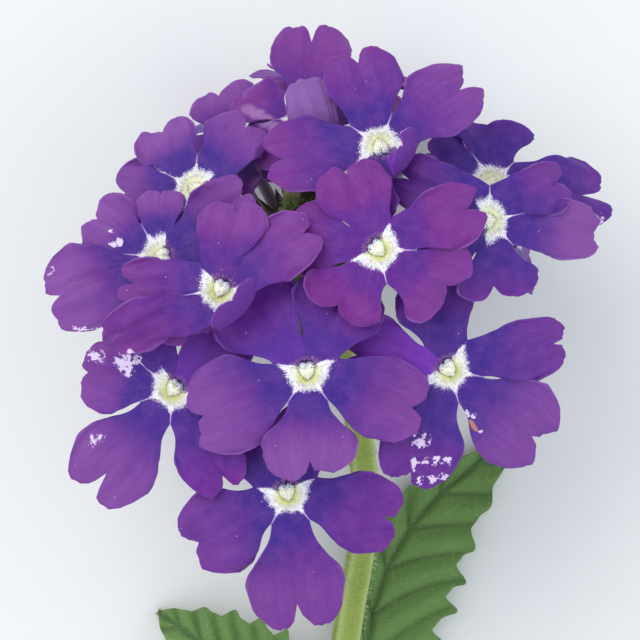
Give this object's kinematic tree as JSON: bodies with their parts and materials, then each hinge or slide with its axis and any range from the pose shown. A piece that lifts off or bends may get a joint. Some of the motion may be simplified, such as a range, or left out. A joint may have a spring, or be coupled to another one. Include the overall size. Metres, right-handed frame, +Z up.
{
  "type": "verbena flower shoot",
  "caption": "Cut garden verbena shoot lying down: a domed head of notched purple florets on a square green stem with toothed leaves.",
  "frame": {"origin": "middle of the shoot's bounding box, on the surface it lies on", "axes": "+Y along the lying stem from its cut end to the head, +Z up, the way the head faces"},
  "size_m": [0.0578, 0.1086, 0.0452],
  "materials": {
    "petal": "satin violet petal with a white hairy eye",
    "stem": "matte light green, ridged and finely hairy",
    "leaf": "matte mid green with sunken veins"
  },
  "bodies": {
    "root": {"stem": "stem", "floret_01": "petal", "floret_02": "petal", "floret_03": "petal", "floret_04": "petal", "floret_05": "petal", "floret_06": "petal", "floret_07": "petal", "floret_08": "petal", "floret_09": "petal", "floret_10": "petal", "floret_11": "petal", "floret_12": "petal", "floret_13": "petal", "floret_14": "petal", "floret_15": "petal", "floret_16": "petal", "floret_17": "petal", "floret_18": "petal", "leaf_right": "leaf", "leaf_left": "leaf"}
  },
  "joints": []
}
